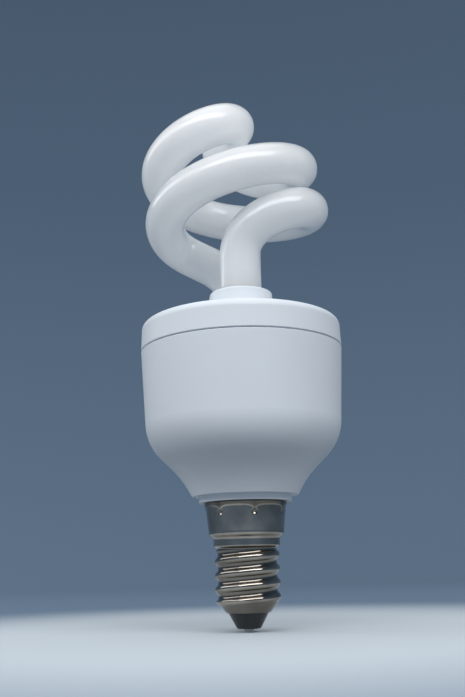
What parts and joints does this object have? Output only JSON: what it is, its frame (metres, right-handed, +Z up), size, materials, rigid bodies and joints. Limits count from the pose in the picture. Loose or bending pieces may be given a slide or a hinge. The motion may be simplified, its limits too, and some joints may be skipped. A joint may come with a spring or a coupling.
{
  "type": "spiral energy saving bulb",
  "caption": "Compact fluorescent lamp: a spiral white glass tube on a white moulded ballast housing, with a small nickel screw cap that fits a lamp holder.",
  "frame": {"origin": "tip of the centre contact, on the cap's axis", "axes": "+Z up the lamp's axis from the contact to the tube's crown; -Y towards the camera of the picture; +X to its right"},
  "size_m": [0.0441, 0.0451, 0.1162],
  "materials": {
    "tube_glass": "glossy glass, opaque white from the phosphor inside",
    "housing_plastic": "satin white moulding",
    "cap_nickel": "bright nickel plate",
    "cap_glass": "glossy black opaque glass",
    "solder": "dull soldered metal",
    "cement": "matt hard cement",
    "board": "plain paper laminate",
    "tinned_wire": "tinned wire",
    "ferrite": "matt dark ferrite",
    "bobbin_plastic": "natural nylon",
    "copper_wire": "enamelled copper",
    "can_sleeve": "dark shrink sleeve",
    "film_resin": "dipped resin",
    "black_epoxy": "moulded epoxy",
    "resistor_lacquer": "lacquered body",
    "wire_sleeve": "coloured sleeving"
  },
  "bodies": {
    "root": {"spiral_tube": "tube_glass", "tube_cover": "housing_plastic", "tube_cement": "cement", "lower_housing": "housing_plastic", "cap_shell": "cap_nickel", "cap_insulator": "cap_glass", "centre_contact": "solder", "circuit_board": "board", "electrode_pins": "tinned_wire", "electrode_wires": "tinned_wire", "choke_core": "ferrite", "choke_bobbin": "bobbin_plastic", "choke_winding": "copper_wire", "main_capacitor": "can_sleeve", "drive_toroid": "ferrite", "toroid_windings": "copper_wire", "power_transistors": "black_epoxy", "resonant_capacitor": "film_resin", "coupling_capacitor": "film_resin", "filter_inductor": "black_epoxy", "fuse_resistor": "resistor_lacquer", "rectifier_diodes": "black_epoxy", "start_resistors": "resistor_lacquer", "trigger_diode": "film_resin", "live_lead": "wire_sleeve", "neutral_lead": "wire_sleeve"}
  },
  "joints": []
}
